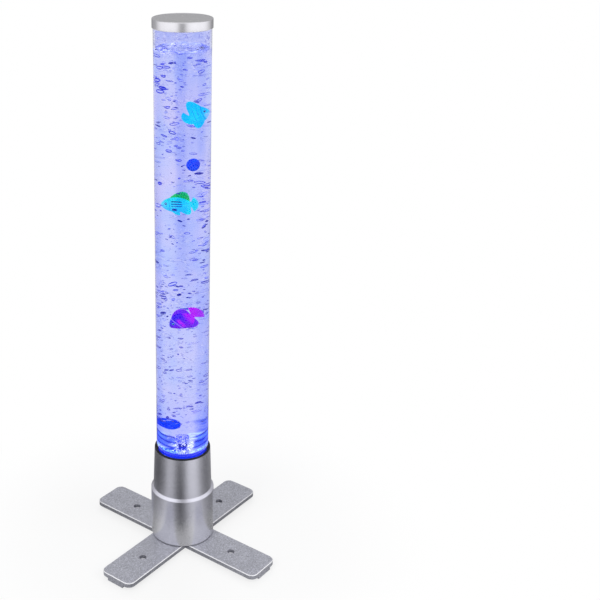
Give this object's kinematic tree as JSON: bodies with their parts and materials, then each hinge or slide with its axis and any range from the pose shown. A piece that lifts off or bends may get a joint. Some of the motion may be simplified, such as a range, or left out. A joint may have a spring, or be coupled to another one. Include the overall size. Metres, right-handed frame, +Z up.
{
  "type": "bubble tube floor lamp",
  "caption": "Free-standing bubble lamp: a clear water tube with model fish and balls, silver cap and tapered collar, on a round base with flat crossed legs.",
  "frame": {"origin": "on the floor, on the tube's axis", "axes": "+Z up along the tube, +Y to the rear where the button and the power inlet are, legs on the diagonals"},
  "size_m": [0.325, 0.325, 1.03],
  "materials": {
    "silver_plastic": "satin silver",
    "leg_plastic": "fine grain silver grey",
    "clear_acrylic": "clear, polished",
    "soft_ring": "matt",
    "black_rubber": "matt",
    "cyan_vinyl": "satin",
    "striped_vinyl": "satin",
    "purple_vinyl": "satin",
    "blue_ball": "gloss",
    "air_stone": "porous",
    "nozzle_plastic": "satin",
    "white_plastic": "satin",
    "valve_cap_plastic": "clear tinted",
    "flap_rubber": "matt",
    "clear_hose": "clear",
    "screw_steel": "bright zinc",
    "dark_plastic": "fine grain",
    "white_board": "white solder mask",
    "diode": "clear cover",
    "core_steel": "oiled",
    "copper_wire": "enamelled copper",
    "green_board": "green solder mask",
    "board_parts": "satin",
    "red_wire": "satin",
    "yellow_wire": "satin"
  },
  "bodies": {
    "base": {"acrylic_tube": "clear_acrylic", "tube_floor": "clear_acrylic", "air_stone": "air_stone", "air_nozzle": "nozzle_plastic", "nozzle_washer": "black_rubber", "nozzle_nut": "white_plastic", "tube_collar": "silver_plastic", "rim_ring": "black_rubber", "collar_screws": "screw_steel", "base_housing": "silver_plastic", "base_plate": "dark_plastic", "housing_screws": "screw_steel", "light_tower": "white_plastic", "tower_screws": "screw_steel", "light_board": "white_board", "light_diodes": "diode", "light_board_screws": "screw_steel", "check_valve_body": "white_plastic", "check_valve_cap": "valve_cap_plastic", "check_valve_flap": "flap_rubber", "upper_hose": "clear_hose", "lower_hose": "clear_hose", "pump_case": "dark_plastic", "pump_lid": "dark_plastic", "pump_lid_screws": "screw_steel", "pump_mounts": "black_rubber", "pump_core": "core_steel", "coil_bobbin": "white_plastic", "coil_winding": "copper_wire", "pump_diaphragm": "black_rubber", "valve_box": "white_plastic", "control_board": "green_board", "board_parts": "board_parts", "power_inlet": "dark_plastic", "switch_body": "dark_plastic", "light_wire": "red_wire", "pump_wire": "yellow_wire", "leg_bar_upper": "leg_plastic", "leg_bar_lower": "leg_plastic", "leg_bolts": "screw_steel", "foot_front_right": "leg_plastic", "foot_rear_right": "leg_plastic", "foot_rear_left": "leg_plastic", "foot_front_left": "leg_plastic", "foot_screws": "screw_steel", "foot_pads": "black_rubber"},
    "cap": {"top_cap": "silver_plastic", "cap_ring": "soft_ring"},
    "cyan_fish": {"cyan_fish": "cyan_vinyl"},
    "striped_fish": {"striped_fish": "striped_vinyl"},
    "purple_fish": {"purple_fish": "purple_vinyl"},
    "upper_ball": {"upper_ball": "blue_ball"},
    "lower_ball": {"lower_ball": "blue_ball"},
    "button": {"power_button": "dark_plastic", "switch_plunger": "white_plastic"},
    "armature": {"armature": "core_steel", "armature_magnet": "core_steel"}
  },
  "joints": [
    {"name": "cap_lift", "type": "slide", "parent": "base", "child": "cap", "axis": [0, 0, 1], "range_m": [0, 0.06]},
    {"name": "cyan_fish_drift", "type": "slide", "parent": "base", "child": "cyan_fish", "axis": [0, 0, 1], "range_m": [-0.05, 0.08]},
    {"name": "striped_fish_drift", "type": "slide", "parent": "base", "child": "striped_fish", "axis": [0, 0, 1], "range_m": [-0.07, 0.055]},
    {"name": "purple_fish_drift", "type": "slide", "parent": "base", "child": "purple_fish", "axis": [0, 0, 1], "range_m": [-0.2, 0.09]},
    {"name": "upper_ball_drift", "type": "slide", "parent": "base", "child": "upper_ball", "axis": [0, 0, 1], "range_m": [-0.54, 0.175]},
    {"name": "lower_ball_drift", "type": "slide", "parent": "base", "child": "lower_ball", "axis": [0, 0, 1], "range_m": [-0.018, 0.71]},
    {"name": "button_press", "type": "slide", "parent": "base", "child": "button", "axis": [0, -1, 0], "range_m": [0, 0.002], "stiffness_N_per_m": 800},
    {"name": "armature_rock", "type": "hinge", "parent": "base", "child": "armature", "pos_m": [-0.004, 0, 0.035], "axis": [0, 1, 0], "range_deg": [-1.5, 1.5], "stiffness_Nm_per_rad": 0.05}
  ]
}
